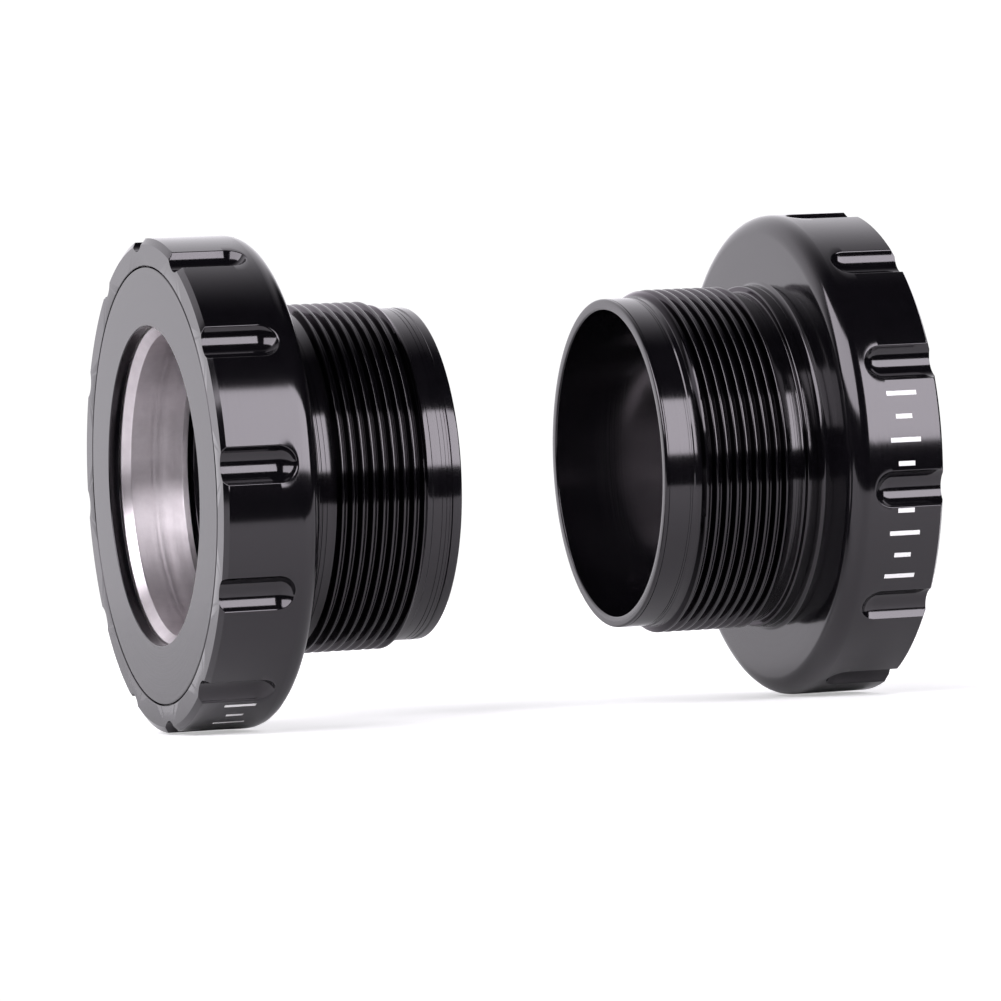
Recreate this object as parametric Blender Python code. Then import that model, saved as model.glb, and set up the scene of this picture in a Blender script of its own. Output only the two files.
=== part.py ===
"""Bottom bracket for a threaded bicycle shell: two screw-in cups with sealed bearings.

The spindle's axis is X, with the drive side at -X. Each cup is modelled once, with depth
measured along X from its outer face towards the middle of the frame, and each side's
empty stands at that outer face. The drive-side cup has a left-hand thread and the other
cup a right-hand thread, so that neither works loose. All sizes are in metres.
"""

import math

import bmesh
import bpy
from mathutils import Matrix, Vector

TURN = 2 * math.pi
CUP_SEGMENTS = 48
BEARING_SEGMENTS = 36

# Spindle and bearing: a thin-section ball bearing for a 30 mm spindle
SPINDLE_RADIUS = 0.0150
BEARING_SECTION = 0.0060
BEARING_WIDTH = 0.0070
BALL_RADIUS = 0.0015875
BALL_COUNT = 20
BALL_CLEARANCE = 0.00011
LAND_OFFSET = 0.00125
RACE_CHAMFER = 0.0003
LEAD_CHAMFER = 0.0008
CAGE_THICKNESS = 0.0014
CAGE_CLEARANCE = 0.00015
CAGE_BASE_SHARE = 0.52
CAGE_POCKET_STEPS = 4
CAGE_FINGER = 0.0006
SEAL_THICKNESS = 0.0006
SEAL_INSET = 0.00025
SEAL_GAP = 0.00015

# Dust cover ring, flush with the cup's outer face
COVER_THICKNESS = 0.00115
COVER_OVERLAP = 0.00065
COVER_BORE_CLEARANCE = 0.00086
SEAT_GAP = 0.00015

# Cup flange, with the round-bottomed notches that take the fitting tool
FLANGE_WALL = 0.00285
FLANGE_ROUND = 0.0019
LIP_DEPTH = 0.0004
LIP_HEIGHT = 0.0006
EDGE_CHAMFER = 0.0003
SHOULDER_WIDTH = 0.0018
POCKET_DEPTH = 0.0004
WEB_THICKNESS = 0.00105
NOTCH_COUNT = 12
NOTCH_ROUND = 0.0020
NOTCH_DEPTH = 0.0012
NOTCH_STOP = 0.0025
DRIVE_NOTCH_PHASE = math.radians(3.5)
NONDRIVE_NOTCH_PHASE = math.radians(9.4)

# Threaded barrel, 1.37 in by 24 threads to the inch
BORE_CLEARANCE = 0.00053
BARREL_WALL = 0.00112
THREAD_PITCH = 0.0254 / 24
THREAD_TURNS = 9
THREAD_HEIGHT = 0.00065
THREAD_STEP = 0.0001
THREAD_FADE = 0.25
DRIVE_THREAD_START = math.radians(125)
NONDRIVE_THREAD_START = math.radians(0)
WELD = 1e-7
NECK_LENGTH = 0.0019
RELIEF_LENGTH = 0.00115
TAIL_LENGTH = 0.00312

# Space between the two barrels
BARREL_GAP = 0.0213

# What follows from those sizes
BEARING_RADIUS = SPINDLE_RADIUS + BEARING_SECTION
PITCH_RADIUS = (SPINDLE_RADIUS + BEARING_RADIUS) / 2
COVER_RADIUS = BEARING_RADIUS + COVER_OVERLAP
COVER_BORE = SPINDLE_RADIUS + COVER_BORE_CLEARANCE
FLANGE_RADIUS = COVER_RADIUS + FLANGE_WALL
BEARING_START = COVER_THICKNESS + SEAT_GAP
BEARING_END = BEARING_START + BEARING_WIDTH
BALL_DEPTH = (BEARING_START + BEARING_END) / 2
SHOULDER_DEPTH = BEARING_END + SEAT_GAP
POCKET_END = SHOULDER_DEPTH + POCKET_DEPTH
FLANGE_DEPTH = POCKET_END + WEB_THICKNESS
BARREL_BORE = SPINDLE_RADIUS + BORE_CLEARANCE
TAIL_RADIUS = BARREL_BORE + BARREL_WALL
THREAD_CORE = TAIL_RADIUS + THREAD_STEP
THREAD_RADIUS = THREAD_CORE + THREAD_HEIGHT
NECK_END = FLANGE_DEPTH + NECK_LENGTH
RELIEF_END = NECK_END + RELIEF_LENGTH
THREAD_LENGTH = (THREAD_TURNS + 1) * THREAD_PITCH
TAIL_START = RELIEF_END + THREAD_LENGTH
CUP_DEPTH = TAIL_START + TAIL_LENGTH
HALF_WIDTH = CUP_DEPTH + BARREL_GAP / 2


def clear_scene():
    for item in list(bpy.data.objects):
        bpy.data.objects.remove(item)


def finish(name, colour, roughness, metallic):
    material = bpy.data.materials.new(name)
    material.use_nodes = True
    shader = material.node_tree.nodes["Principled BSDF"]
    shader.inputs["Base Color"].default_value = (*colour, 1.0)
    shader.inputs["Roughness"].default_value = roughness
    shader.inputs["Metallic"].default_value = metallic
    return material


def side_frame(name, x, turned_round):
    """An empty at a cup's outer face, whose +X points into the bicycle frame."""
    empty = bpy.data.objects.new(name, None)
    empty.location = (x, 0.0, 0.0)
    empty.rotation_euler = (0.0, 0.0, math.pi if turned_round else 0.0)
    bpy.context.scene.collection.objects.link(empty)
    return empty


def add_object(name, mesh, material, parent):
    item = bpy.data.objects.new(name, mesh)
    if not mesh.materials:
        mesh.materials.append(material)
    item.parent = parent
    bpy.context.scene.collection.objects.link(item)
    return item


def mesh_from(shape, name, sharp_angle=30):
    """Turns a bmesh into a mesh with outward faces, smooth but for its sharp edges."""
    bmesh.ops.recalc_face_normals(shape, faces=shape.faces)
    mesh = bpy.data.meshes.new(name)
    shape.to_mesh(mesh)
    shape.free()
    mesh.shade_smooth()
    mesh.set_sharp_from_angle(angle=math.radians(sharp_angle))
    return mesh


def spin_profile(shape, profile, segments, closed=True):
    """Spins an outline of (depth, radius) points about X into the bmesh."""
    corners = [shape.verts.new((depth, -radius, 0.0)) for depth, radius in profile]
    edges = [shape.edges.new(pair) for pair in zip(corners, corners[1:])]
    if closed:
        edges.append(shape.edges.new((corners[-1], corners[0])))
    bmesh.ops.spin(
        shape,
        geom=corners + edges,
        cent=(0.0, 0.0, 0.0),
        axis=(1.0, 0.0, 0.0),
        angle=TURN,
        steps=segments,
        use_merge=True,
    )


def turned(name, profile, segments, material, parent):
    """A solid of revolution as an object of its own."""
    shape = bmesh.new()
    spin_profile(shape, profile, segments)
    return add_object(name, mesh_from(shape, name), material, parent)


def arc(depth, radius, size, start, end, steps):
    """Points round a centre, by angle in degrees from the depth axis towards the rim."""
    angles = [math.radians(start + (end - start) * k / steps) for k in range(steps + 1)]
    return [(depth + size * math.cos(a), radius + size * math.sin(a)) for a in angles]


def cup_profile():
    """The cup's half section without its thread, from the tail round the bore and the face."""
    recess = COVER_RADIUS + SEAT_GAP
    seat = BEARING_RADIUS + SEAT_GAP
    tail = [
        (TAIL_START, THREAD_CORE),
        (TAIL_START, TAIL_RADIUS),
        (CUP_DEPTH - EDGE_CHAMFER, TAIL_RADIUS),
        (CUP_DEPTH, TAIL_RADIUS - EDGE_CHAMFER),
        (CUP_DEPTH, BARREL_BORE + EDGE_CHAMFER),
        (CUP_DEPTH - EDGE_CHAMFER, BARREL_BORE),
    ]
    inside = [
        (POCKET_END, BARREL_BORE),
        (POCKET_END, BEARING_RADIUS - SHOULDER_WIDTH),
        (SHOULDER_DEPTH, BEARING_RADIUS - SHOULDER_WIDTH),
        (SHOULDER_DEPTH, seat),
        (BEARING_START, seat),
        (BEARING_START, recess),
    ]
    face = [
        (0.0, recess),
        (0.0, FLANGE_RADIUS - LIP_HEIGHT),
        (LIP_DEPTH, FLANGE_RADIUS),
    ]
    round_start = (FLANGE_DEPTH - FLANGE_ROUND, FLANGE_RADIUS - FLANGE_ROUND)
    shell_edge = arc(*round_start, FLANGE_ROUND, 90, 0, 4)
    neck = [
        (FLANGE_DEPTH, THREAD_RADIUS),
        (NECK_END - EDGE_CHAMFER, THREAD_RADIUS),
        (NECK_END, THREAD_RADIUS - EDGE_CHAMFER),
        (NECK_END, THREAD_CORE),
    ]
    return tail + inside + face + shell_edge + neck


def thread_rows(turned_by):
    """Depths and radii down one side of the barrel, whose ridge has wound on by turned_by.

    The rows are the neck's edge, a root, then a crest and a root for each turn, and the
    tail's edge. The crest rises from the core at the thread's start and dies into it at
    its end, over THREAD_FADE of a turn.
    """
    rows = [(NECK_END, THREAD_CORE)]
    for number in range(2 * THREAD_TURNS + 1):
        wound = number / 2 + turned_by
        radius = THREAD_CORE
        if number % 2:
            left = THREAD_TURNS + 0.5 - wound - 1 / CUP_SEGMENTS
            lift = min(1.0, (wound - 0.5) / THREAD_FADE, left / THREAD_FADE)
            radius += THREAD_HEIGHT * lift
        rows.append((RELIEF_END + THREAD_PITCH * wound, radius))
    return rows + [(TAIL_START, THREAD_CORE)]


def thread_band(shape, start, hand):
    """The helical ridge as a band of faces, wound on from the angle start.

    hand is 1 for a right-hand thread and -1 for a left-hand one.
    """
    first_step = round(CUP_SEGMENTS * start / TURN)
    columns = []
    for k in range(CUP_SEGMENTS):
        turn = hand * TURN * (first_step + k) / CUP_SEGMENTS
        spin = Matrix.Rotation(turn, 3, "X")
        rows = thread_rows(k / CUP_SEGMENTS)
        columns.append([shape.verts.new(spin @ Vector((x, -r, 0.0))) for x, r in rows])
    for here, there in zip(columns, columns[1:]):
        for k in range(len(here) - 1):
            shape.faces.new((here[k], here[k + 1], there[k + 1], there[k]))
    last, first = columns[-1], columns[0]
    for k in range(1, len(last) - 4):
        shape.faces.new((last[k], last[k + 1], first[k + 3], first[k + 2]))
    shape.faces.new((last[0], last[1], first[3], first[2], first[1], first[0]))
    shape.faces.new((*last[-4:], first[-1], first[-2]))


def notch_cutter(name, phase, parent):
    """The sweep of a ball-nosed mill through each notch: a round bar with a ball end."""
    sides = 18
    half = math.sqrt(NOTCH_DEPTH * (2 * NOTCH_ROUND - NOTCH_DEPTH))
    end = FLANGE_DEPTH - NOTCH_STOP - half
    axis = FLANGE_RADIUS - NOTCH_DEPTH + NOTCH_ROUND
    rings = [(-FLANGE_ROUND, NOTCH_ROUND)]
    for tilt in (0, 25, 50, 75):
        swing = math.radians(tilt)
        rings.append((end + NOTCH_ROUND * math.sin(swing), NOTCH_ROUND * math.cos(swing)))
    shape = bmesh.new()
    for number in range(NOTCH_COUNT):
        spin = Matrix.Rotation(-phase - TURN * number / NOTCH_COUNT, 3, "X")
        loops = []
        for depth, radius in rings:
            turns = [TURN * (k + 0.5) / sides for k in range(sides)]
            points = [(depth, radius * math.cos(a) - axis, radius * math.sin(a)) for a in turns]
            loops.append([shape.verts.new(spin @ Vector(point)) for point in points])
        for here, there in zip(loops, loops[1:]):
            for k in range(sides):
                shape.faces.new((here[k], here[k - 1], there[k - 1], there[k]))
        shape.faces.new(loops[0])
        shape.faces.new(loops[-1])
    return hidden_tool(name, mesh_from(shape, name), parent)


def hidden_tool(name, mesh, parent):
    item = bpy.data.objects.new(name, mesh)
    item.parent = parent
    item.hide_render = True
    item.display_type = "WIRE"
    bpy.context.scene.collection.objects.link(item)
    return item


def cut(item, tool):
    modifier = item.modifiers.new(tool.name, "BOOLEAN")
    modifier.operation = "DIFFERENCE"
    modifier.solver = "EXACT"
    modifier.object = tool


def cup(side, phase, start, hand, material, parent):
    shape = bmesh.new()
    spin_profile(shape, cup_profile(), CUP_SEGMENTS, closed=False)
    thread_band(shape, start, hand)
    bmesh.ops.remove_doubles(shape, verts=shape.verts, dist=WELD)
    mesh = mesh_from(shape, f"{side}_cup")
    body = add_object(f"{side}_cup", mesh, material, parent)
    cut(body, notch_cutter(f"{side}_notch_tool", phase, parent))


def dust_cover(side, material, parent):
    profile = [
        (0.0, COVER_BORE),
        (0.0, COVER_RADIUS),
        (COVER_THICKNESS, COVER_RADIUS),
        (COVER_THICKNESS, COVER_BORE),
    ]
    turned(f"{side}_dust_cover", profile, CUP_SEGMENTS, material, parent)


def groove(outward):
    """The ball groove of a race, as points from one land to the other."""
    size = BALL_RADIUS + BALL_CLEARANCE
    spread = math.degrees(math.acos(LAND_OFFSET / size))
    return arc(BALL_DEPTH, PITCH_RADIUS, size, outward * 90 + spread, outward * 90 - spread, 4)


def outer_race(side, material, parent):
    land = PITCH_RADIUS + LAND_OFFSET
    profile = [
        (BEARING_START, land),
        (BEARING_START, BEARING_RADIUS - RACE_CHAMFER),
        (BEARING_START + RACE_CHAMFER, BEARING_RADIUS),
        (BEARING_END - RACE_CHAMFER, BEARING_RADIUS),
        (BEARING_END, BEARING_RADIUS - RACE_CHAMFER),
        (BEARING_END, land),
    ]
    outline = profile + groove(1)[::-1]
    turned(f"{side}_outer_race", outline, BEARING_SEGMENTS, material, parent)


def inner_race(side, material, parent):
    land = PITCH_RADIUS - LAND_OFFSET
    profile = [
        (BEARING_START, land),
        (BEARING_START, SPINDLE_RADIUS + LEAD_CHAMFER),
        (BEARING_START + LEAD_CHAMFER, SPINDLE_RADIUS),
        (BEARING_END - LEAD_CHAMFER, SPINDLE_RADIUS),
        (BEARING_END, SPINDLE_RADIUS + LEAD_CHAMFER),
        (BEARING_END, land),
    ]
    outline = profile + groove(-1)
    turned(f"{side}_inner_race", outline, BEARING_SEGMENTS, material, parent)


def seals(side, material, parent):
    low = PITCH_RADIUS - LAND_OFFSET + SEAL_GAP
    high = PITCH_RADIUS + LAND_OFFSET - SEAL_GAP
    near = BEARING_START + SEAL_INSET
    far = BEARING_END - SEAL_INSET - SEAL_THICKNESS
    for name, depth in (("outer_seal", near), ("inner_seal", far)):
        profile = [
            (depth, low),
            (depth, high),
            (depth + SEAL_THICKNESS, high),
            (depth + SEAL_THICKNESS, low),
        ]
        turned(f"{side}_{name}", profile, BEARING_SEGMENTS, material, parent)


def ball_cage(side, material, parent):
    """A crown cage: a ring with a half-round pocket behind each ball.

    The pocket's flats, not its corners, clear the ball, and the ring behind the pockets
    fills a share of the room between them and the inner seal.
    """
    steps = CAGE_POCKET_STEPS
    pocket = (BALL_RADIUS + CAGE_CLEARANCE) / math.cos(math.pi / (2 * steps))
    sector = TURN / BALL_COUNT
    half = pocket / PITCH_RADIUS
    front = []
    for number in range(BALL_COUNT):
        middle = number * sector
        front.append((middle - sector / 2, -CAGE_FINGER))
        for k in range(steps + 1):
            swing = math.pi * (k / steps - 0.5)
            front.append((middle + half * math.sin(swing), pocket * math.cos(swing)))
        front[-steps - 1] = (middle - half, -CAGE_FINGER / 2)
        front[-1] = (middle + half, -CAGE_FINGER / 2)
    room = BEARING_END - SEAL_INSET - SEAL_THICKNESS - BALL_DEPTH - pocket
    back = pocket + CAGE_BASE_SHARE * room
    inside = PITCH_RADIUS - CAGE_THICKNESS / 2
    outside = PITCH_RADIUS + CAGE_THICKNESS / 2
    shape = bmesh.new()
    columns = []
    for angle, rise in front:
        corners = [(rise, inside), (rise, outside), (back, outside), (back, inside)]
        spin = Matrix.Rotation(-angle, 3, "X")
        points = [spin @ Vector((BALL_DEPTH + x, -r, 0.0)) for x, r in corners]
        columns.append([shape.verts.new(point) for point in points])
    for here, there in zip(columns, columns[1:] + columns[:1]):
        for a in range(4):
            b = (a + 1) % 4
            shape.faces.new((here[a], here[b], there[b], there[a]))
    mesh = mesh_from(shape, f"{side}_ball_cage")
    add_object(f"{side}_ball_cage", mesh, material, parent)


def ball_mesh():
    shape = bmesh.new()
    bmesh.ops.create_icosphere(shape, subdivisions=2, radius=BALL_RADIUS)
    return mesh_from(shape, "ball", sharp_angle=180)


def balls(side, mesh, material, parent):
    for number in range(BALL_COUNT):
        angle = TURN * number / BALL_COUNT
        item = add_object(f"{side}_ball_{number + 1:02d}", mesh, material, parent)
        item.location = (
            BALL_DEPTH,
            -PITCH_RADIUS * math.cos(angle),
            PITCH_RADIUS * math.sin(angle),
        )


def build():
    clear_scene()
    black = finish("black_anodised", (0.012, 0.012, 0.014), 0.28, 0.9)
    satin = finish("satin_black_cover", (0.03, 0.029, 0.032), 0.42, 0.7)
    steel = finish("bearing_steel", (0.52, 0.5, 0.47), 0.3, 1.0)
    polished = finish("polished_steel", (0.75, 0.75, 0.76), 0.08, 1.0)
    rubber = finish("seal_rubber", (0.02, 0.02, 0.02), 0.8, 0.0)
    nylon = finish("cage_nylon", (0.75, 0.71, 0.6), 0.5, 0.0)
    ball = ball_mesh()
    sides = (
        ("drive", -HALF_WIDTH, False, DRIVE_NOTCH_PHASE, DRIVE_THREAD_START, -1),
        ("nondrive", HALF_WIDTH, True, NONDRIVE_NOTCH_PHASE, NONDRIVE_THREAD_START, 1),
    )
    for side, x, turned_round, phase, start, hand in sides:
        frame = side_frame(f"{side}_side", x, turned_round)
        cup(side, phase, start, hand, black, frame)
        dust_cover(side, satin, frame)
        outer_race(side, steel, frame)
        inner_race(side, steel, frame)
        seals(side, rubber, frame)
        ball_cage(side, nylon, frame)
        balls(side, ball, polished, frame)


build()
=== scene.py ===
"""A threaded bottom bracket: two screw-in cups, each with a sealed bearing and a dust cover.

The spindle's axis is X, with the drive side at -X. A place on either side is given by its
depth from that side's outer face towards the middle, its radius from the axis, and its
angle round the axis. All sizes are in metres.
"""

import math

import bmesh
import bpy
import numpy as np
from mathutils import Matrix, Vector


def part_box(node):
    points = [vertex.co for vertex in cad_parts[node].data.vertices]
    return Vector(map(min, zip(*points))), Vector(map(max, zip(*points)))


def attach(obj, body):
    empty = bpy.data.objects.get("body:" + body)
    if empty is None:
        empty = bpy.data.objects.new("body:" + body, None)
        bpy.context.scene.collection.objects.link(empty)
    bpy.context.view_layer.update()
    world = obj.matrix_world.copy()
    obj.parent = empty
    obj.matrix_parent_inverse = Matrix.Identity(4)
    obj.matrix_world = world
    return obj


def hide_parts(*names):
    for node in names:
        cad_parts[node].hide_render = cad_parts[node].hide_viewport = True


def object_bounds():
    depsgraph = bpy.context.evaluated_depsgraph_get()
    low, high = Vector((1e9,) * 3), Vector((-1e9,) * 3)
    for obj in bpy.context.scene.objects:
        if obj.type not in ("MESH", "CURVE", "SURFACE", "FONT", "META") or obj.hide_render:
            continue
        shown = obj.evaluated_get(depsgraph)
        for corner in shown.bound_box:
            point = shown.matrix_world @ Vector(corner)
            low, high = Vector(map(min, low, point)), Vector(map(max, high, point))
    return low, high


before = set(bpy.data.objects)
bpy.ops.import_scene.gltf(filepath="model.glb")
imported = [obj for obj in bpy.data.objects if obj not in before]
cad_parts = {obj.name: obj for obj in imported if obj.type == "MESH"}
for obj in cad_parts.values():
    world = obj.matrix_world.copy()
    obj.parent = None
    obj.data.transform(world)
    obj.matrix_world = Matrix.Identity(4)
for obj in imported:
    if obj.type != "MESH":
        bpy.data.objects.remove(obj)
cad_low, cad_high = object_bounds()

# ---------------------------------------------------------------------------------------
# The two cups. Each is turned from one bar of aluminium: a flange with twelve milled
# notches for the fitting tool, a thin barrel with a 24-to-the-inch thread, and a stepped
# bore that holds the bearing. The drive side's thread is left-handed. Both are anodised.
# ---------------------------------------------------------------------------------------

HALF_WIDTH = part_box("nondrive_cup")[1][0]
DRIVE = 1
NONDRIVE = -1

FLANGE_RADIUS = 0.0245
FLANGE_DEPTH = 0.0099
FLANGE_ROUND = 0.0019
NEARLY_ALL = 0.9999
LIP_DEPTH = 0.0004
LIP_HEIGHT = 0.0006
RECESS_RADIUS = 0.0218
RECESS_DEPTH = 0.0013
SEAT_RADIUS = 0.02115
SEAT_DEPTH = 0.00845
POCKET_RADIUS = 0.0192
POCKET_DEPTH = 0.00885
BORE_RADIUS = 0.01553
NECK_RADIUS = 0.0174
NECK_END = 0.0118
NECK_FILLET = 0.00045
RELIEF_ROUND = 0.00015
CORE_RADIUS = 0.01675
RELIEF_END = 0.01295
TAIL_RADIUS = 0.01665
TAIL_ROUND = 0.00022
TURNED_ROUND = 0.0002
FINE_ROUND = 0.0001
MOUTH_ROUND = 0.00008
FACE_RING = 0.0222
BACK_RING = 0.02
CUP_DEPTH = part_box("drive_cup")[1][0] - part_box("drive_cup")[0][0]

NOTCH_COUNT = 12
NOTCH_ROUND = 0.0020
NOTCH_DEPTH = 0.0012
NOTCH_CENTRE = 0.005567
NOTCH_BEVEL = 0.00009
PATCH_END = FLANGE_DEPTH - FLANGE_ROUND
SIDE_COLUMNS = 5
FLOOR_RINGS = 9
EDGE_RINGS = 4
RINGS = 18
SECTOR_STEPS = 2 * (RINGS - 1)
COLUMNS = NOTCH_COUNT * SECTOR_STEPS
SECTOR = 2 * math.pi / NOTCH_COUNT

THREAD_PITCH = 0.0254 / 24
THREAD_TURNS = 9
THREAD_HEIGHT = 0.00065
THREAD_FADE = 0.25
THREAD_STEPS = np.array([0.0, 0.07, 0.25, 0.39, 0.42, 0.445, 0.555, 0.58, 0.61, 0.75, 0.93])
THREAD_LIFT = np.array([0.0, 0.03, 0.48, 0.92, 0.98, 1.0, 1.0, 0.98, 0.92, 0.48, 0.03])
THREAD_START_CONE = 0.6
THREAD_END = RELIEF_END + (THREAD_TURNS + 1) * THREAD_PITCH
THREAD_ROOM = 0.00002
TAIL_STEP = 0.00012
WELD = 1e-7
SHARP_ANGLE = math.radians(28)


def place(side, depth, radius, angle):
    """Points from depth, radius and angle: the side's frame is turned half round for NONDRIVE."""
    x = side * (depth - HALF_WIDTH)
    y = -side * radius * np.cos(angle)
    z = radius * np.sin(angle)
    return np.stack(np.broadcast_arrays(x, y, z), axis=-1)


def rounded(corners, steps=4):
    """An outline through (depth, radius, rounding) corners, as a table of depths and radii.

    A corner's arc touches both of its sides, and swings evenly from one to the other.
    """
    table = np.array(corners)
    points, sizes = table[:, :2], table[:, 2]
    back = np.roll(points, 1, axis=0) - points
    on = np.roll(points, -1, axis=0) - points
    outline = []
    for corner, a, b, size in zip(points, back, on, sizes):
        if size == 0:
            outline.append(corner[None])
            continue
        a = a / np.linalg.norm(a)
        b = b / np.linalg.norm(b)
        half = np.arccos(a @ b) / 2
        centre = corner + (a + b) / np.linalg.norm(a + b) * size / np.sin(half)
        first = corner + a * size / np.tan(half) - centre
        last = corner + b * size / np.tan(half) - centre
        sweep = np.pi - 2 * half
        share = np.linspace(0, 1, steps + 1)[:, None]
        swing = (np.sin((1 - share) * sweep) * first + np.sin(share * sweep) * last) / np.sin(sweep)
        outline.append(centre + swing)
    return np.concatenate(outline)


def scored(radius, *grooves):
    """Outline corners of fine grooves in a barrel: each has a start, a width and a depth."""
    corners = []
    for start, width, sink in grooves:
        lean = width / 4
        corners += [(start, radius, 0), (start + lean, radius - sink, 0)]
        corners += [(start + width - lean, radius - sink, 0), (start + width, radius, 0)]
    return corners


def quads(index):
    """The four-sided faces between neighbours in a two-way table of point numbers."""
    corners = (index[:-1, :-1], index[1:, :-1], index[1:, 1:], index[:-1, 1:])
    return np.stack(corners, axis=-1).reshape(-1, 4)


def piece(name, points, faces, body, material, nodes):
    """A closed mesh from points and faces, welded, facing outwards and shaded by face size."""
    mesh = bpy.data.meshes.new(name)
    mesh.from_pydata(points.reshape(-1, 3), [], faces)
    shape = bmesh.new()
    shape.from_mesh(mesh)
    bmesh.ops.remove_doubles(shape, verts=shape.verts, dist=WELD)
    bmesh.ops.recalc_face_normals(shape, faces=shape.faces)
    shape.to_mesh(mesh)
    shape.free()
    mesh.shade_smooth()
    mesh.set_sharp_from_angle(angle=SHARP_ANGLE)
    mesh.materials.append(material)
    item = bpy.data.objects.new(name, mesh)
    bpy.context.scene.collection.objects.link(item)
    normals = item.modifiers.new("shading", "WEIGHTED_NORMAL")
    normals.keep_sharp = True
    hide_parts(*nodes)
    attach(item, body)
    return item


def rim_radius(depth):
    """The flange's radius: a straight bevel over the first LIP_DEPTH, then level."""
    return FLANGE_RADIUS - LIP_HEIGHT * np.clip(1 - depth / LIP_DEPTH, 0, 1)


def notch_sector():
    """One notch and the rim round it, as tables of depth, radius and angle.

    Columns stand along the notch's middle line and fan out round its end, and rings are at
    growing distances from that line. A ball-nosed mill leaves its own arc, so the floor
    rises from NOTCH_DEPTH as sqrt(round squared - distance squared) falls. The arc meets
    the rim where both give the same height, a quadratic in that root, and a curve rounds
    that edge over. The last rings go straight from there to the sector's edge.
    """
    lip = LIP_DEPTH * np.array([0, 0.06, 0.5, 0.94, 1, 1.06, 1.3])
    straight = np.concatenate([lip, [0.0015, 0.003, 0.0045, NOTCH_CENTRE]])
    room = PATCH_END - NOTCH_CENTRE
    beyond = NOTCH_CENTRE + room * np.arange(1, SIDE_COLUMNS + 1) / (SIDE_COLUMNS + 1)
    far = np.linspace(-SECTOR / 2, SECTOR / 2, SECTOR_STEPS + 1)
    fan = SECTOR_STEPS + 1 + 2 * SIDE_COLUMNS
    stand = np.concatenate([straight, np.full(fan, NOTCH_CENTRE), straight[::-1]])[:, None]
    swing = np.linspace(-np.pi / 2, np.pi / 2, fan + 2)[1:-1]
    level = np.full(len(straight), np.pi / 2)
    heading = np.concatenate([-level, swing, level])[:, None]
    side = np.concatenate([straight, beyond])
    edge_depth = np.concatenate([side, np.full(len(far), PATCH_END), side[::-1]])[:, None]
    low_side, high_side = np.full(len(side), far[0]), np.full(len(side), far[-1])
    edge_angle = np.concatenate([low_side, far, high_side])[:, None]

    mill = FLANGE_RADIUS - NOTCH_DEPTH + NOTCH_ROUND
    along, aside = np.cos(heading), np.sin(heading)
    rest = mill**2 + (NOTCH_ROUND * aside) ** 2 - rim_radius(stand) ** 2
    root = rest / (mill + np.sqrt(mill**2 - along**2 * rest))
    reach = np.sqrt(NOTCH_ROUND**2 - root**2)

    def spot(out, height):
        depth, across = stand + out * along, out * aside
        return np.stack([depth, np.hypot(height, across), np.arctan2(across, height)], axis=-1)

    def on_rim(out):
        return np.sqrt(rim_radius(stand + out * along) ** 2 - (out * aside) ** 2)

    tilt = np.arcsin((reach - NOTCH_BEVEL) / NOTCH_ROUND) * np.linspace(0, 1, FLOOR_RINGS)
    floor_height = mill - NOTCH_ROUND * np.cos(tilt)
    floor = spot(NOTCH_ROUND * np.sin(tilt), floor_height)
    share = np.linspace(0, 1, EDGE_RINGS + 1)[1:]
    out = reach + NOTCH_BEVEL * (share**2 - (1 - share) ** 2)
    edge_height = (1 - share) ** 2 * floor_height[:, -1:] + 2 * share * (1 - share) * on_rim(reach)
    edge = spot(out, edge_height + share**2 * on_rim(reach + NOTCH_BEVEL))

    share = np.linspace(0, 1, RINGS - FLOOR_RINGS - EDGE_RINGS + 1)[1:]
    depth = edge[:, -1:, 0] * (1 - share) + edge_depth * share
    angle = edge[:, -1:, 2] * (1 - share) + edge_angle * share
    rim = np.stack([depth, rim_radius(depth), angle], axis=-1)
    return np.moveaxis(np.concatenate([floor, edge, rim], axis=1), -1, 0)


def thread_rows(column_share):
    """Depths and radii of the thread, a row at each of its steps, a column at each share of a turn.

    Depth grows by a pitch a turn. The ridge rises at its first end and dies at its last
    over THREAD_FADE of a turn, and a cone at the tail trims its last turn.
    """
    row = np.arange(len(THREAD_STEPS) * THREAD_TURNS + 1)
    turn, step = row // len(THREAD_STEPS), row % len(THREAD_STEPS)
    wound = (turn + THREAD_STEPS[step])[:, None] + column_share[None]
    depth = RELIEF_END + THREAD_PITCH * wound
    rise = np.clip(column_share / THREAD_FADE, 0, 1)
    fall = np.clip((column_share.max() - column_share) / THREAD_FADE, 0, 1)
    lift = THREAD_LIFT[step][:, None] * np.ones_like(column_share)
    lift = lift * np.where((turn == 0)[:, None], rise, 1)
    lift = lift * np.where((turn == THREAD_TURNS - 1)[:, None], fall, 1)
    radius = CORE_RADIUS + THREAD_HEIGHT * lift
    return depth, np.minimum(radius, CORE_RADIUS + THREAD_START_CONE * (THREAD_END - depth))


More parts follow.
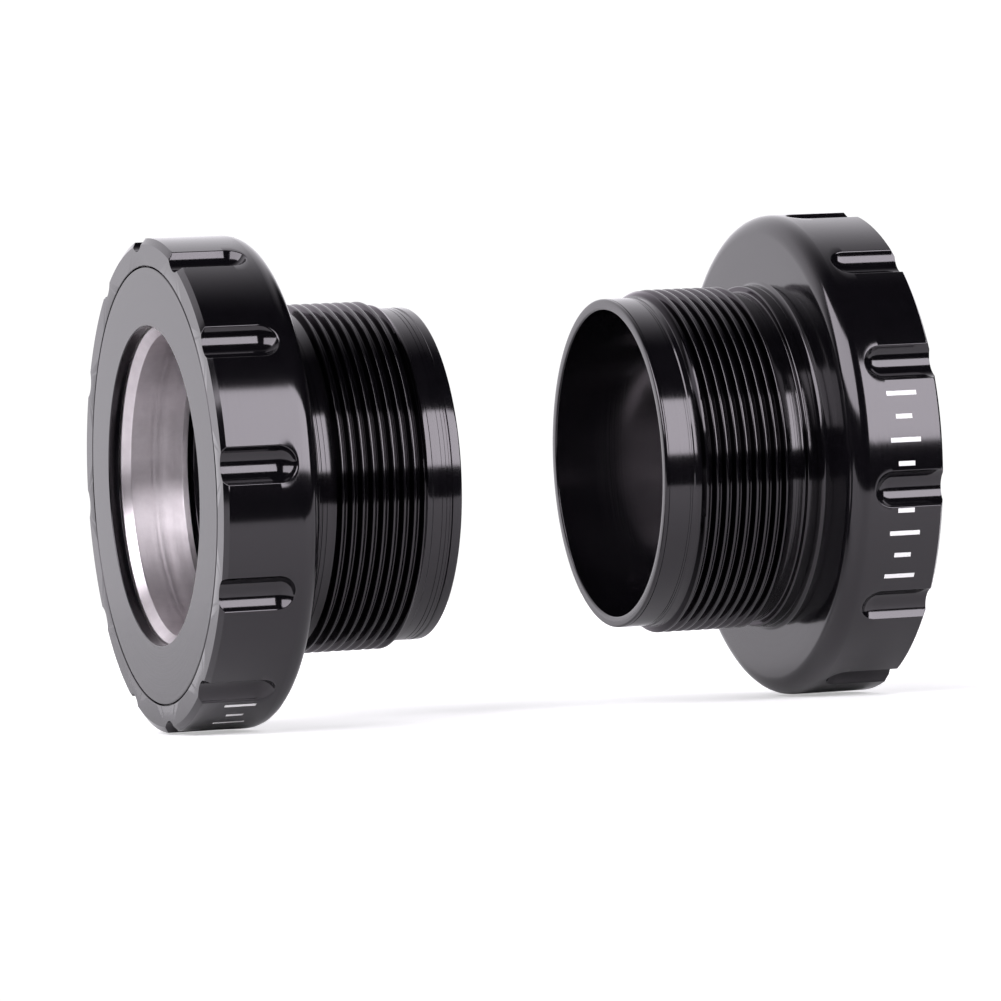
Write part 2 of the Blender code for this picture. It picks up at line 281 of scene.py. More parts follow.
def cup(name, side, notch_angle, thread_angle, neck_grooves, tail_grooves, body, material):
    """The whole cup: twelve notch sectors, then the turned profile and thread between them.

    thread_angle is where the thread starts, and it winds on with the angle on the drive
    side, and against it on the other. The fine grooves are the marks of the lathe's tool.
    """
    depth, radius, angle = notch_sector()
    turns = notch_angle + SECTOR * np.arange(NOTCH_COUNT)
    patch = place(side, depth, radius, angle + turns[:, None, None])
    patch_index = np.arange(depth.size).reshape(depth.shape)
    faces = [quads(patch_index) + depth.size * number for number in range(NOTCH_COUNT)]
    outline = np.concatenate([patch[:, 0, ::-1], patch[:, -1, 1:-1]], axis=1).reshape(-1, 3)

    around = notch_angle - SECTOR / 2 + 2 * np.pi * np.arange(COLUMNS) / COLUMNS
    near = rounded([
        (PATCH_END, FLANGE_RADIUS, 0),
        (FLANGE_DEPTH, FLANGE_RADIUS, FLANGE_ROUND * NEARLY_ALL),
        (FLANGE_DEPTH, BACK_RING, 0),
        (FLANGE_DEPTH, NECK_RADIUS, NECK_FILLET),
        *scored(NECK_RADIUS, COLLAR_GROOVE),
        (NECK_END, NECK_RADIUS, TURNED_ROUND),
        (NECK_END, CORE_RADIUS, RELIEF_ROUND),
        *scored(CORE_RADIUS, *neck_grooves),
        (RELIEF_END - THREAD_ROOM, CORE_RADIUS, 0),
    ], steps=6)
    tail = rounded([
        (THREAD_END + THREAD_ROOM, CORE_RADIUS, 0),
        (THREAD_END + TAIL_STEP, TAIL_RADIUS, 0),
        *scored(TAIL_RADIUS, *tail_grooves),
        (CUP_DEPTH, TAIL_RADIUS, TAIL_ROUND),
        (CUP_DEPTH, BORE_RADIUS, TURNED_ROUND),
        (POCKET_DEPTH, BORE_RADIUS, FINE_ROUND),
        (POCKET_DEPTH, POCKET_RADIUS, 0),
        (SEAT_DEPTH, POCKET_RADIUS, FINE_ROUND),
        (SEAT_DEPTH, SEAT_RADIUS, 0),
        (RECESS_DEPTH, SEAT_RADIUS, FINE_ROUND),
        (RECESS_DEPTH, RECESS_RADIUS, 0),
        (0.0, RECESS_RADIUS, MOUTH_ROUND),
        (0.0, FACE_RING, 0),
    ], steps=4)
    first_column = round((thread_angle - around[0]) / (2 * np.pi / COLUMNS))
    winding = side * (np.arange(COLUMNS) - first_column)
    order = np.argsort(winding % COLUMNS)
    thread_depth, thread_radius = thread_rows((winding % COLUMNS) / COLUMNS)
    parts = [
        place(side, near[:, :1], near[:, 1:], around),
        place(side, thread_depth, thread_radius, around),
        place(side, tail[:-1, :1], tail[:-1, 1:], around),
        outline[None],
    ]
    rows = np.concatenate(parts)
    index = patch[..., 0].size + np.arange(rows[..., 0].size).reshape(rows.shape[:2])
    one, two = len(near), len(near) + len(thread_depth)
    wrapped = np.concatenate([index, index[:, :1]], axis=1)
    faces += [quads(wrapped[:one]), quads(wrapped[two:]), quads(index[one - 1 : two + 1, order])]
    first, last, pitch = index[:, order[0]], index[:, order[-1]], len(THREAD_STEPS)
    faces.append(quads(np.stack([last[one : two - pitch], first[one + pitch : two]], axis=1)))
    start_end = [*last[one - 1 : one + 1], *first[one - 1 : one + pitch + 1][::-1]]
    tail_end = [*last[two - pitch - 1 : two + 1], *first[two - 1 : two + 1][::-1]]
    faces = np.concatenate(faces).tolist() + [start_end, tail_end]
    points = np.concatenate([patch.reshape(-1, 3), rows.reshape(-1, 3)])
    return piece(name + "_body", points, faces, body, material, [name])


def group(name, inputs, outputs):
    """An empty shader node group with float inputs and outputs, and its two end nodes."""
    tree = bpy.data.node_groups.new(name, "ShaderNodeTree")
    for label, value in inputs.items():
        socket = tree.interface.new_socket(label, in_out="INPUT", socket_type="NodeSocketFloat")
        socket.default_value = value
    for label in outputs:
        tree.interface.new_socket(label, in_out="OUTPUT", socket_type="NodeSocketFloat")
    return tree, tree.nodes.new("NodeGroupInput"), tree.nodes.new("NodeGroupOutput")


def wire(tree, value, socket):
    """Joins a socket to an input, or sets the input to a plain value."""
    if isinstance(value, bpy.types.NodeSocket):
        tree.links.new(value, socket)
    else:
        socket.default_value = value


def maths(tree, operation, *values):
    """A Math node's result."""
    node = tree.nodes.new("ShaderNodeMath")
    node.operation = operation
    for value, socket in zip(values, node.inputs):
        wire(tree, value, socket)
    return node.outputs[0]


def ramp(tree, value, start, end, low=0.0, high=1.0):
    """The value carried smoothly from low at start to high at end."""
    node = tree.nodes.new("ShaderNodeMapRange")
    node.interpolation_type = "SMOOTHSTEP"
    for item, socket in zip((value, start, end, low, high), node.inputs):
        wire(tree, item, socket)
    return node.outputs[0]


def blend(tree, share, low, high):
    """A colour between low and high."""
    node = tree.nodes.new("ShaderNodeMix")
    node.data_type = "RGBA"
    wire(tree, share, node.inputs["Factor"])
    wire(tree, low, node.inputs["A"])
    wire(tree, high, node.inputs["B"])
    return node.outputs["Result"]


def noise(tree, vector, scale, detail=2.0, roughness=0.5):
    """Fractal noise: scale is its patches to one unit of the vector, detail its finer layers."""
    node = tree.nodes.new("ShaderNodeTexNoise")
    wire(tree, vector, node.inputs["Vector"])
    node.inputs["Scale"].default_value = scale
    node.inputs["Detail"].default_value = detail
    node.inputs["Roughness"].default_value = roughness
    return node.outputs["Fac"]


def coordinates(tree, label="Object"):
    """One kind of texture coordinates."""
    return tree.nodes.new("ShaderNodeTexCoord").outputs[label]


def components(tree, vector):
    """A vector's three parts."""
    split = tree.nodes.new("ShaderNodeSeparateXYZ")
    tree.links.new(vector, split.inputs[0])
    return split.outputs


def round_axis(tree):
    """The Object coordinates, and from them the length along X, the radius and the angle."""
    where = coordinates(tree)
    x, y, z = components(tree, where)
    squares = maths(tree, "ADD", maths(tree, "MULTIPLY", y, y), maths(tree, "MULTIPLY", z, z))
    angle = maths(tree, "ARCTAN2", z, maths(tree, "MULTIPLY", y, -1.0))
    return where, x, maths(tree, "SQRT", squares), angle


def turning_marks():
    """Fine rings that a lathe or a grinding wheel leaves: noise over length and radius alone.

    The rings drift a little with the angle, so that no ring is the same all the way round.
    """
    given_values = {"Per Metre": 9000.0, "Drift": 0.05}
    tree, given, result = group("turning_marks", given_values, ["Height", "Tone"])
    where, x, radius, angle = round_axis(tree)
    mix = tree.nodes.new("ShaderNodeCombineXYZ")
    wire(tree, maths(tree, "MULTIPLY", x, given.outputs["Per Metre"]), mix.inputs[0])
    wire(tree, maths(tree, "MULTIPLY", radius, given.outputs["Per Metre"]), mix.inputs[1])
    swing = maths(tree, "MULTIPLY", maths(tree, "COSINE", angle), given.outputs["Drift"])
    wire(tree, swing, mix.inputs[2])
    wire(tree, noise(tree, mix.outputs[0], 1.0, 3.0, 0.6), result.inputs["Height"])
    wire(tree, noise(tree, where, 620.0, 4.0, 0.62), result.inputs["Tone"])
    return tree


BAR_SOLID = 0.0088
BAR_GONE = 0.0104
SHORT_BAR_CUT = 0.45
INK_EDGE = 0.00002
INK_DEPTH = 0.00006


def tick_scale():
    """A printed row of plain bars round the flange, every other one short, as a mask.

    A bar is solid within BAR_SOLID radians of its middle and gone by BAR_GONE, and every
    other one is short by SHORT_BAR_CUT of its length. A bar's number, the angle from First
    over the spacing, rounded, must lie between the row's two ends. Only what is within
    INK_DEPTH of the rim's radius is printed.
    """
    given_values = {"First": 0.0, "Last": 1.0, "Middle": 0.0, "Half Length": 0.0015, "Spacing": 0.1}
    tree, given, result = group("tick_scale", given_values, ["Mask"])
    where, x, radius, angle = round_axis(tree)
    first, last, middle, half_length, spacing = [given.outputs[label] for label in given_values]
    along = maths(tree, "DIVIDE", maths(tree, "SUBTRACT", angle, first), spacing)
    number = maths(tree, "ROUND", along)
    off = maths(tree, "ABSOLUTE", maths(tree, "SUBTRACT", along, number))
    bar = ramp(tree, maths(tree, "MULTIPLY", off, spacing), BAR_SOLID, BAR_GONE, 1.0, 0.0)
    cut = maths(tree, "MULTIPLY", maths(tree, "PINGPONG", number, 1.0), SHORT_BAR_CUT)
    reach = maths(tree, "MULTIPLY", half_length, maths(tree, "SUBTRACT", 1.0, cut))
    across = maths(tree, "ABSOLUTE", maths(tree, "SUBTRACT", x, middle))
    length = ramp(tree, maths(tree, "SUBTRACT", across, reach), -INK_EDGE, INK_EDGE, 1.0, 0.0)
    count = maths(tree, "DIVIDE", maths(tree, "SUBTRACT", last, first), spacing)
    begun = maths(tree, "GREATER_THAN", number, -0.5)
    going = maths(tree, "LESS_THAN", number, maths(tree, "ADD", count, 0.5))
    inside = maths(tree, "MULTIPLY", begun, going)
    rim = maths(tree, "GREATER_THAN", radius, FLANGE_RADIUS - INK_DEPTH)
    shape = maths(tree, "MULTIPLY", bar, length)
    mask = maths(tree, "MULTIPLY", shape, maths(tree, "MULTIPLY", inside, rim))
    patchy = ramp(tree, noise(tree, where, 5200.0, 3.0, 0.7), 0.22, 0.34)
    wire(tree, maths(tree, "MULTIPLY", mask, patchy), result.inputs["Mask"])
    return tree


def use(tree, shared, **values):
    """A shared group placed in a material, with its values set."""
    node = tree.nodes.new("ShaderNodeGroup")
    node.node_tree = shared
    for label, value in values.items():
        node.inputs[label.replace("_", " ")].default_value = value
    return node.outputs


def finish(name, colour, roughness, metallic, ior=1.5):
    """A material with its plain values on the shader's own sockets; returns it, its tree and shader."""
    material = bpy.data.materials.new(name)
    material.use_nodes = True
    shader = material.node_tree.nodes["Principled BSDF"]
    shader.inputs["Base Color"].default_value = (*colour, 1.0)
    shader.inputs["Roughness"].default_value = roughness
    shader.inputs["Metallic"].default_value = metallic
    shader.inputs["IOR"].default_value = ior
    return material, material.node_tree, shader


def tinted(tree, shader, share, low, high):
    """Carries the base colour from low to high by the share."""
    wire(tree, blend(tree, share, (*low, 1.0), (*high, 1.0)), shader.inputs["Base Color"])


def dulled(tree, shader, value, low, high, spread=0.2):
    """Carries the roughness from low to high as a noise passes its middle, by the spread."""
    rough = ramp(tree, value, 0.5 - spread, 0.5 + spread, low, high)
    wire(tree, rough, shader.inputs["Roughness"])


def raise_bump(tree, shader, height, distance):
    """Lifts the surface's normals by a height of 0 to 1 over the distance."""
    bump = tree.nodes.new("ShaderNodeBump")
    bump.inputs["Distance"].default_value = distance
    bump.inputs["Strength"].default_value = 1.0
    wire(tree, height, bump.inputs["Height"])
    tree.links.new(bump.outputs["Normal"], shader.inputs["Normal"])


TURNING_MARKS = turning_marks()
TICK_SCALE = tick_scale()
ANODISED = (0.0022, 0.002, 0.0027)
ANODISED_PALE = (0.0045, 0.004, 0.0052)
BLACK_SHEEN = (1.0, 0.955, 1.0, 1.0)
ANODISED_IOR = 1.62
INK = (0.85, 0.85, 0.84)
INK_DULLNESS = 0.35
BAR_HALF_LENGTH = 0.0016
BAR_SPACING = math.radians(5.5)
# Painted shade on the thread's flanks: how metallic they turn, and the radii where that starts and
# ends.
FLANK_PAINTED_SHADE = 0.85
PAINTED_SHADE_START = (CORE_RADIUS + 0.00004, CORE_RADIUS + 0.00014)
PAINTED_SHADE_END = (NECK_RADIUS - 0.00014, NECK_RADIUS - 0.00006)


def anodised(name, first, last, middle):
    """Black anodised aluminium, still showing the lathe's rings, with a printed row of bars.

    The thread's flanks, known by their radius, are darkened as painted shade in the grooves:
    they turn metallic over the near-black colour, and a black metallic surface throws back next to
    nothing, while the crests and roots keep their shine.
    """
    material, tree, shader = finish(name, ANODISED, 0.1, 0.0, ANODISED_IOR)
    shader.inputs["Specular Tint"].default_value = BLACK_SHEEN
    marks = use(tree, TURNING_MARKS, Per_Metre=8000.0)
    ends = {"First": first, "Last": last, "Middle": middle}
    ticks = use(tree, TICK_SCALE, **ends, Half_Length=BAR_HALF_LENGTH, Spacing=BAR_SPACING)
    ground = blend(tree, marks["Tone"], (*ANODISED, 1), (*ANODISED_PALE, 1))
    wire(tree, blend(tree, ticks["Mask"], ground, (*INK, 1)), shader.inputs["Base Color"])
    rough = ramp(tree, marks["Height"], 0.3, 0.7, 0.08, 0.14)
    dull_ink = maths(tree, "MULTIPLY", ticks["Mask"], INK_DULLNESS)
    wire(tree, maths(tree, "ADD", rough, dull_ink), shader.inputs["Roughness"])
    radius = round_axis(tree)[2]
    # Painted shade: the thread's flanks turn metallic, so their black base throws back next to nothing.
    above_root = ramp(tree, radius, *PAINTED_SHADE_START)
    below_crest = ramp(tree, radius, *PAINTED_SHADE_END, 1.0, 0.0)
    flank = maths(tree, "MULTIPLY", above_root, below_crest)
    wire(tree, maths(tree, "MULTIPLY", flank, FLANK_PAINTED_SHADE), shader.inputs["Metallic"])
    raise_bump(tree, shader, marks["Height"], 0.0000008)
    return material


# Each groove's start, width and depth.
COLLAR_GROOVE = (0.01064, 0.00018, 0.00008)
DRIVE_NECK_GROOVES = (
    (0.01208, 0.0002, 0.00006),
    (0.01262, 0.00012, 0.00005),
)
NONDRIVE_NECK_GROOVES = (
    (0.01216, 0.00006, 0.00003),
    (0.01248, 0.0001, 0.00005),
    (0.01276, 0.00006, 0.00003),
)
DRIVE_TAIL_GROOVES = (
    (0.02453, 0.00007, 0.00005),
    (0.02498, 0.00007, 0.00005),
    (0.02534, 0.00036, 0.00012),
)
NONDRIVE_TAIL_GROOVES = (
    (0.02378, 0.00006, 0.00004),
    (0.024, 0.00006, 0.00004),
    (0.02622, 0.00012, 0.00007),
)

DRIVE_NOTCHES = math.radians(3.5)
DRIVE_THREAD = math.radians(127.5)
DRIVE_BARS = (math.radians(-74), math.radians(-58), -HALF_WIDTH + 0.0045)
NONDRIVE_NOTCHES = math.radians(9.4)
NONDRIVE_THREAD = 0.0
NONDRIVE_BARS = (math.radians(-31), math.radians(18.5), HALF_WIDTH - 0.0041)

cup("drive_cup", DRIVE, DRIVE_NOTCHES, DRIVE_THREAD, DRIVE_NECK_GROOVES, DRIVE_TAIL_GROOVES,
    "drive_side_cup", anodised("drive_anodised", *DRIVE_BARS))
cup("nondrive_cup", NONDRIVE, NONDRIVE_NOTCHES, NONDRIVE_THREAD, NONDRIVE_NECK_GROOVES,
    NONDRIVE_TAIL_GROOVES, "nondrive_side_cup", anodised("nondrive_anodised", *NONDRIVE_BARS))

# ---------------------------------------------------------------------------------------
# The bearings. Each side has a thin ball bearing for a 30 mm spindle: ground steel rings
# with a groove each, twenty polished balls in a moulded cage, and a rubber seal on each
# face, pressed into the rings.
# ---------------------------------------------------------------------------------------

BORE = 0.015
BEARING_RADIUS = 0.021
BEARING_START = 0.0013
BEARING_END = 0.0083
BALL_DEPTH = 0.0048
BALL_CIRCLE = 0.018
BALL_RADIUS = 0.0015875
BALL_COUNT = 20
BALL_RINGS = 17
BALL_COLUMNS = 28
GROOVE_RADIUS = 0.0016975
GROOVE_STEPS = 17
LAND = 0.00125
LAND_ROUND = 0.00006
RACE_ROUND = 0.0003
BORE_BEVEL = 0.0008
BORE_BEVEL_HEIGHT = 0.00075
BORE_ROUND = 0.00015
BEVEL_ROUND = 0.00005
RING_COLUMNS = 240
SIDES = (("drive", DRIVE), ("nondrive", NONDRIVE))


def looped(points):
    """Faces over a two-way table of points that closes on itself both ways."""
    numbers = np.arange(points[..., 0].size).reshape(points.shape[:2])
    return quads(np.pad(numbers, ((0, 1), (0, 1)), mode="wrap")).tolist()


def turned(name, side, outline, body, material):
    """A ring: a closed outline of depth and radius, carried round the axis."""
    around = 2 * np.pi * np.arange(RING_COLUMNS) / RING_COLUMNS
    points = place(side, outline[:, :1], outline[:, 1:], around)
    return piece(name + "_ring", points, looped(points), body, material, [name])


def groove(outward):
    """The ball groove's arc from one land to the other, as depths and radii."""
    spread = math.acos(LAND / GROOVE_RADIUS)
    middle = outward * np.pi / 2
    angle = np.linspace(middle + spread, middle - spread, GROOVE_STEPS)
    depth = BALL_DEPTH + GROOVE_RADIUS * np.cos(angle)
    radius = BALL_CIRCLE + GROOVE_RADIUS * np.sin(angle)
    return np.stack([depth, radius], axis=1)


def spread_gloss(tree, shader, share):
    """Spreads the gloss across the grinding marks, which run round the axis as (0, -z, y)."""
    x, y, z = components(tree, coordinates(tree))
    along = tree.nodes.new("ShaderNodeCombineXYZ")
    wire(tree, maths(tree, "MULTIPLY", z, -1.0), along.inputs[1])
    wire(tree, y, along.inputs[2])
    turn = tree.nodes.new("ShaderNodeVectorTransform")
    turn.vector_type = "VECTOR"
    turn.convert_from, turn.convert_to = "OBJECT", "WORLD"
    wire(tree, along.outputs[0], turn.inputs[0])
    wire(tree, turn.outputs[0], shader.inputs["Tangent"])
    shader.inputs["Anisotropic"].default_value = share
    shader.inputs["Anisotropic Rotation"].default_value = 0.25


def ground_steel():
    """Bearing steel, ground round and round to a fine brushed grey."""
    material, tree, shader = finish("ground_steel", (0.66, 0.62, 0.615), 0.42, 1.0)
    spread_gloss(tree, shader, 0.75)
    marks = use(tree, TURNING_MARKS, Per_Metre=6500.0)
    tinted(tree, shader, marks["Tone"], (0.62, 0.57, 0.59), (0.86, 0.81, 0.83))
    dulled(tree, shader, marks["Height"], 0.35, 0.48, spread=0.25)
    raise_bump(tree, shader, marks["Height"], 0.000004)
    return material


def seal_rubber():
    """Moulded black nitrile rubber: matt, with a fine pitted skin."""
    material, tree, shader = finish("seal_rubber", (0.02, 0.02, 0.021), 0.62, 0.0)
    marks = use(tree, TURNING_MARKS, Per_Metre=2500.0)
    tinted(tree, shader, marks["Tone"], (0.014, 0.014, 0.015), (0.03, 0.03, 0.031))
    pits = noise(tree, coordinates(tree), 3800.0, 3.0, 0.6)
    dulled(tree, shader, pits, 0.55, 0.72)
    raise_bump(tree, shader, maths(tree, "ADD", pits, marks["Height"]), 0.00001)
    return material


def cage_nylon():
    """Glass-filled nylon, moulded: cream with faint flow clouds and a dull sheen."""
    material, tree, shader = finish("cage_nylon", (0.62, 0.56, 0.44), 0.48, 0.0)
    where = coordinates(tree)
    clouds = noise(tree, where, 420.0, 4.0, 0.6)
    tinted(tree, shader, clouds, (0.55, 0.49, 0.37), (0.7, 0.65, 0.53))
    fibres = noise(tree, where, 5200.0, 2.0, 0.6)
    dulled(tree, shader, fibres, 0.4, 0.56)
    raise_bump(tree, shader, fibres, 0.000006)
    return material


def ball_steel():
    """Polished chrome steel, with the faintest lapping haze."""
    material, tree, shader = finish("ball_steel", (0.76, 0.76, 0.77), 0.07, 1.0)
    haze = noise(tree, coordinates(tree), 900.0, 3.0, 0.6)
    tinted(tree, shader, haze, (0.7, 0.7, 0.71), (0.8, 0.8, 0.81))
    dulled(tree, shader, haze, 0.05, 0.11)
    return material


STEEL = ground_steel()
RUBBER = seal_rubber()
NYLON = cage_nylon()
POLISHED = ball_steel()

outer_outline = np.concatenate([
    rounded([
        (BEARING_START, BALL_CIRCLE + LAND, LAND_ROUND),
        (BEARING_START, BEARING_RADIUS, RACE_ROUND),
        (BEARING_END, BEARING_RADIUS, RACE_ROUND),
        (BEARING_END, BALL_CIRCLE + LAND, LAND_ROUND),
    ]),
    groove(1)[::-1],
])
inner_outline = np.concatenate([
    rounded([
        (BEARING_START, BALL_CIRCLE - LAND, LAND_ROUND),
        (BEARING_START, BORE + BORE_BEVEL_HEIGHT, BEVEL_ROUND),
        (BEARING_START + BORE_BEVEL, BORE, BORE_ROUND),
        (BEARING_END - BORE_BEVEL, BORE, BORE_ROUND),
        (BEARING_END, BORE + BORE_BEVEL_HEIGHT, BEVEL_ROUND),
        (BEARING_END, BALL_CIRCLE - LAND, LAND_ROUND),
    ]),
    groove(-1),
])
SEAL_GAP = 0.00015
SEAL_LOW = BALL_CIRCLE - LAND + SEAL_GAP
SEAL_HIGH = BALL_CIRCLE + LAND - SEAL_GAP
SEAL_INSET = 0.00025
SEAL_THICKNESS = 0.0006
SEAL_ROUND = 0.00006
STEP_ROUND = 0.00003
# How deep the seal's face lies, and how far out, at each corner between its two rims.
SEAL_STEPS = (
    (0, 0.00035),
    (0.00012, 0.0005),
    (0.00012, 0.0009),
    (0, 0.00105),
    (0, 0.00185),
    (0.0001, 0.00195),
)


def seal_outline(face, inward):
    """A seal washer: flat at its inner rim, a shallow moulded channel, a rib and a lip."""
    top = [(face + inward * sink, SEAL_LOW + out, STEP_ROUND) for sink, out in SEAL_STEPS]
    back = face + inward * SEAL_THICKNESS
    return rounded([
        (face, SEAL_LOW, SEAL_ROUND),
        *top,
        (face, SEAL_HIGH, SEAL_ROUND),
        (back, SEAL_HIGH, SEAL_ROUND),
        (back, SEAL_LOW, SEAL_ROUND),
    ], steps=4)


def ball(name, side, angle, body):
    """One ball, as rings of latitude about the spindle's direction, closed at both poles."""
    lift = np.linspace(0, np.pi, BALL_RINGS)[:, None]
    turn = 2 * np.pi * np.arange(BALL_COLUMNS) / BALL_COLUMNS
    centre = place(side, BALL_DEPTH, BALL_CIRCLE, angle)
    x = np.broadcast_to(np.cos(lift), (BALL_RINGS, BALL_COLUMNS))
    shell = np.stack([x, np.sin(lift) * np.cos(turn), np.sin(lift) * np.sin(turn)], axis=-1)
    points = centre + BALL_RADIUS * shell
    index = np.pad(np.arange(x.size).reshape(x.shape), ((0, 0), (0, 1)), mode="wrap")
    faces = quads(index).tolist()
    return piece(name + "_sphere", points, faces, body, POLISHED, [name])


CAGE_POCKET = BALL_RADIUS + 0.00015
CAGE_BACK = CAGE_POCKET + 0.0004
CAGE_FRONT = -0.0006
CAGE_SHOULDER = -0.00052
CAGE_HALF_HEIGHT = 0.0007
CAGE_SOFT = 0.00008
POCKET_STEPS = 17
POCKET_LIP = 0.0003
POST_FLAT = 0.006
POST_LEAN = 0.012


def cage(name, side, body):
    """A crown cage: a ring whose front edge dips in a half circle behind each ball.

    Depths are from the balls' own. Between two pockets stands a post, flat to POST_FLAT
    from its middle, with a shoulder POST_LEAN short of each pocket, and the pocket's two
    ends stand POCKET_LIP forward of its half circle. Angles are in radians.
    """
    pitch = 2 * np.pi / BALL_COUNT
    half = CAGE_POCKET / BALL_CIRCLE
    swing = np.linspace(-np.pi / 2, np.pi / 2, POCKET_STEPS)
    post = np.array([-pitch / 2, -pitch / 2 + POST_FLAT, -half - POST_LEAN])
    angle = np.concatenate([post, half * np.sin(swing), -post[::-1][:-1]])
    pocket_end = np.isclose(np.abs(swing), np.pi / 2)
    pocket = CAGE_POCKET * np.cos(swing) - POCKET_LIP * pocket_end
    rise, fall = [CAGE_FRONT, CAGE_FRONT, CAGE_SHOULDER], [CAGE_SHOULDER, CAGE_FRONT]
    around = (pitch * np.arange(BALL_COUNT)[:, None] + angle).ravel()
    front = np.tile(np.concatenate([rise, pocket, fall]), BALL_COUNT)[None]
    back = np.full_like(front, CAGE_BACK)
    front_rows = [front + CAGE_SOFT, front, front, front + CAGE_SOFT]
    back_rows = [back - CAGE_SOFT, back, back, back - CAGE_SOFT]
    low, high = BALL_CIRCLE - CAGE_HALF_HEIGHT, BALL_CIRCLE + CAGE_HALF_HEIGHT
    climb = np.array([low, low + CAGE_SOFT, high - CAGE_SOFT, high])
    depth = BALL_DEPTH + np.concatenate(front_rows + back_rows)
    radius = np.concatenate([climb, climb[::-1]])[:, None]
    points = place(side, depth, radius, around)
    return piece(name + "_crown", points, looped(points), body, NYLON, [name])


for side_name, side in SIDES:
    cup_body = f"{side_name}_side_cup"
    ball_body = f"{side_name}_side_balls"
    race_body = f"{side_name}_side_inner_race"
    turned(f"{side_name}_outer_race", side, outer_outline, cup_body, STEEL)
    turned(f"{side_name}_inner_race", side, inner_outline, race_body, STEEL)
    near_seal = seal_outline(BEARING_START + SEAL_INSET, 1)
    far_seal = seal_outline(BEARING_END - SEAL_INSET, -1)
    turned(f"{side_name}_outer_seal", side, near_seal, cup_body, RUBBER)
    turned(f"{side_name}_inner_seal", side, far_seal, cup_body, RUBBER)
    cage(f"{side_name}_ball_cage", side, ball_body)
    for number in range(BALL_COUNT):
        ball(f"{side_name}_ball_{number + 1:02d}", side, 2 * np.pi * number / BALL_COUNT, ball_body)

# ---------------------------------------------------------------------------------------
# The dust covers. A flat aluminium ring, satin black, pressed into the mouth of each cup
# and flush with its face, keeps dirt off the bearing's outer seal.
# ---------------------------------------------------------------------------------------

COVER_THICKNESS = 0.00115
COVER_RADIUS = 0.02165
COVER_BORE = 0.01586


def satin_black():
    """A finer turned face than the cup's, with a softer shine."""
    material, tree, shader = finish("satin_black", (0.003, 0.0028, 0.0035), 0.18, 0.0, ANODISED_IOR)
    shader.inputs["Specular Tint"].default_value = BLACK_SHEEN
    marks = use(tree, TURNING_MARKS, Per_Metre=12000.0)
    tinted(tree, shader, marks["Tone"], (0.0025, 0.0023, 0.003), (0.005, 0.0045, 0.0056))
    dulled(tree, shader, marks["Height"], 0.12, 0.2)
    raise_bump(tree, shader, marks["Height"], 0.0000015)
    return material


SATIN = satin_black()
cover_outline = rounded([
    (0.0, COVER_BORE, FINE_ROUND),
    (0.0, COVER_RADIUS, 0.00012),
    (COVER_THICKNESS, COVER_RADIUS, FINE_ROUND),
    (COVER_THICKNESS, COVER_BORE, FINE_ROUND),
])
for side_name, side in SIDES:
    cup_body = f"{side_name}_side_cup"
    turned(f"{side_name}_dust_cover", side, cover_outline, cup_body, SATIN)

# ---------------------------------------------------------------------------------------
# The studio: a pale floor just under the flanges, a soft box on each side of the lens and
# dark between them, a pale backdrop behind, and a long lens at the height of the spindle.
# ---------------------------------------------------------------------------------------

FLOOR_GAP = 0.0002
FLOOR_REACH = 0.35
FLOOR_FRONT = -0.085
FLOOR_BACK = 0.6
FLOOR_GLOW = 0.4
WHITE = (1.0, 1.0, 1.0, 1.0)
LIGHT_TINT = (0.97, 0.945, 1.0, 1.0)
SEEN_BACKGROUND = 1.05

# The brightness of each soft box and of the backdrop, and the two ends of their reach with
# the softness of that edge. Climb, aside, fade and foot are angles in radians.
RIGHT_LIGHT = 6.5
RIGHT_CLIMB = (0.065, 0.75, 0.025)
RIGHT_ACROSS = (0.235, 0.86, 0.02)
LEFT_LIGHT = 5.2
LEFT_ASIDE = (0.42, 1.78, 0.03)
LEFT_HEIGHT = (0.27, 0.78, 0.02)
BACKDROP = 1.35
BACKDROP_ACROSS = (-0.8, 0.6, 0.1)
BACKDROP_FADE = (math.radians(85), math.radians(145))
BACKDROP_FOOT = (math.radians(-100), math.radians(-95))


def floor():
    """A pale matt sheet, lit a little more to the lens alone so that it ends in white."""
    low = cad_low[2] - FLOOR_GAP
    corners = [
        (-FLOOR_REACH, FLOOR_FRONT, low),
        (FLOOR_REACH, FLOOR_FRONT, low),
        (FLOOR_REACH, FLOOR_BACK, low),
        (-FLOOR_REACH, FLOOR_BACK, low),
    ]
    mesh = bpy.data.meshes.new("floor")
    mesh.from_pydata(corners, [], [(0, 1, 2, 3)])
    item = bpy.data.objects.new("floor", mesh)
    bpy.context.scene.collection.objects.link(item)
    material, tree, shader = finish("pale_floor", (0.86, 0.86, 0.86), 0.6, 0.0)
    cloud = noise(tree, coordinates(tree), 12.0)
    tinted(tree, shader, cloud, (0.84, 0.84, 0.84), (0.88, 0.88, 0.88))
    shader.inputs["Emission Color"].default_value = WHITE
    seen = tree.nodes.new("ShaderNodeLightPath").outputs["Is Camera Ray"]
    wire(tree, maths(tree, "MULTIPLY", seen, FLOOR_GLOW), shader.inputs["Emission Strength"])
    mesh.materials.append(material)


def window(tree, value, low, high, soft):
    """1 where the value lies between low and high, with soft edges."""
    rise = ramp(tree, value, low - soft, low + soft)
    return maths(tree, "MULTIPLY", rise, ramp(tree, value, high - soft, high + soft, 1.0, 0.0))


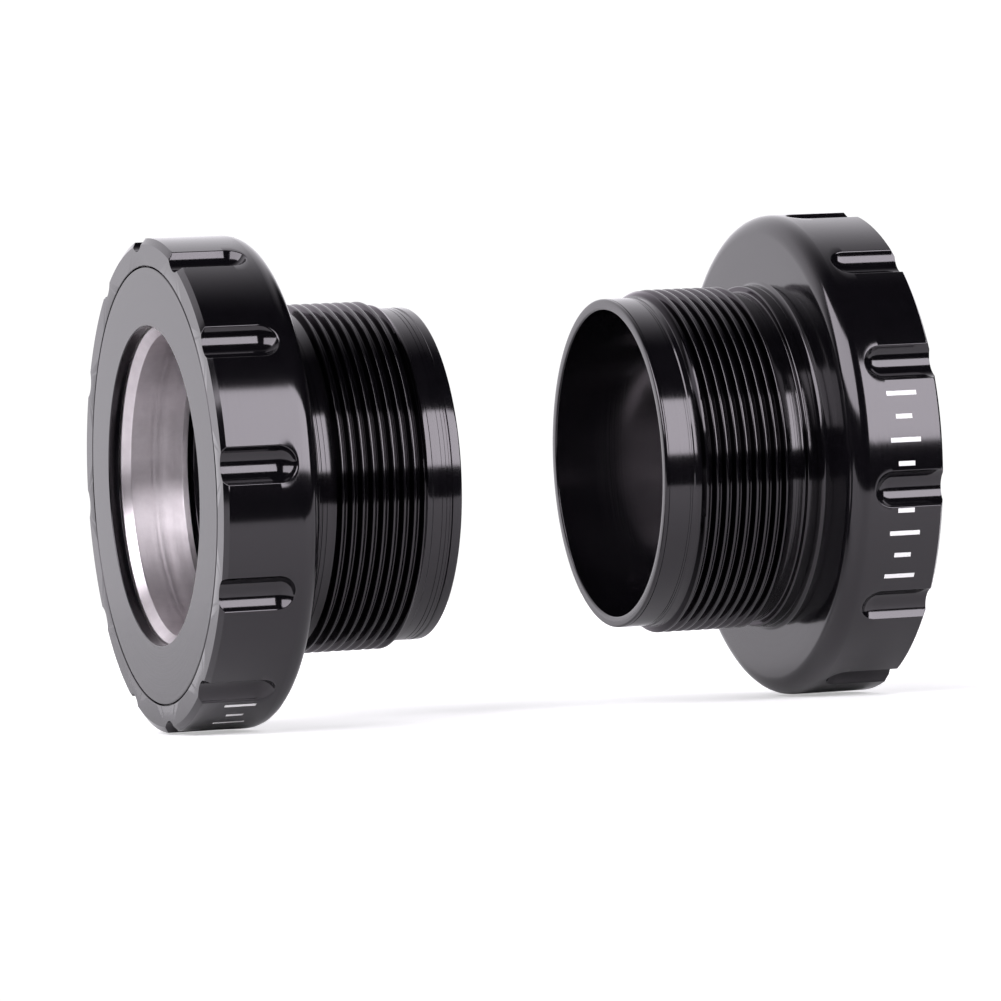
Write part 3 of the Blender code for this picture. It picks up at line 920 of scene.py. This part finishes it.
def studio_world():
    """A soft box on each side of the lens, dark between, and a backdrop that fades overhead.

    The right box and the backdrop go by their angle round the X axis, up from the front,
    and the left box by its height and its angle round the Z axis.
    """
    world = bpy.data.worlds.new("studio")
    world.use_nodes = True
    tree = world.node_tree
    background = tree.nodes["Background"]
    x, y, z = components(tree, coordinates(tree, "Generated"))
    front = maths(tree, "MULTIPLY", y, -1.0)
    left = maths(tree, "MULTIPLY", x, -1.0)
    climb = maths(tree, "ARCTAN2", z, front)
    aside = maths(tree, "ARCTAN2", left, front)

    def box(value, ends, other, other_ends):
        return maths(tree, "MULTIPLY", window(tree, value, *ends), window(tree, other, *other_ends))

    right_box = box(climb, RIGHT_CLIMB, x, RIGHT_ACROSS)
    left_box = box(aside, LEFT_ASIDE, z, LEFT_HEIGHT)
    behind = ramp(tree, climb, *BACKDROP_FADE)
    under = ramp(tree, climb, *BACKDROP_FOOT, 1.0, 0.0)
    level = maths(tree, "ADD", behind, under)
    level = maths(tree, "MULTIPLY", level, window(tree, x, *BACKDROP_ACROSS))
    level = maths(tree, "MULTIPLY", level, BACKDROP)
    level = maths(tree, "ADD", level, maths(tree, "MULTIPLY", right_box, RIGHT_LIGHT))
    level = maths(tree, "MAXIMUM", level, maths(tree, "MULTIPLY", left_box, LEFT_LIGHT))
    seen = tree.nodes.new("ShaderNodeLightPath").outputs["Is Camera Ray"]
    unseen = maths(tree, "MULTIPLY", level, maths(tree, "SUBTRACT", 1.0, seen))
    seen_level = maths(tree, "MULTIPLY", seen, SEEN_BACKGROUND)
    wire(tree, maths(tree, "ADD", unseen, seen_level), background.inputs["Strength"])
    wire(tree, blend(tree, seen, LIGHT_TINT, WHITE), background.inputs["Color"])
    bpy.context.scene.world = world


def camera():
    """A long lens: its place is set by the way it looks, its distance and its roll."""
    azimuth, elevation, roll = math.radians(-19.163), math.radians(0.215), math.radians(-2.873)
    distance, target = 0.673234, Vector((-0.00103, 0.0, -0.0032))
    back = Vector((
        math.sin(azimuth) * math.cos(elevation),
        -math.cos(azimuth) * math.cos(elevation),
        math.sin(elevation),
    ))
    right = Vector((0, 0, 1)).cross(back).normalized()
    up = back.cross(right)
    sideways = right * math.cos(roll) + up * math.sin(roll)
    upwards = up * math.cos(roll) - right * math.sin(roll)
    data = bpy.data.cameras.new("camera")
    data.lens = 240.4
    data.sensor_width = 36.0
    data.clip_start, data.clip_end = 0.01, 10.0
    item = bpy.data.objects.new("camera", data)
    axes = Matrix((sideways, upwards, back)).transposed()
    item.matrix_world = Matrix.Translation(target + back * distance) @ axes.to_4x4()
    bpy.context.scene.collection.objects.link(item)
    bpy.context.scene.camera = item


floor()
studio_world()
camera()
bpy.context.scene.view_settings.view_transform = "Standard"
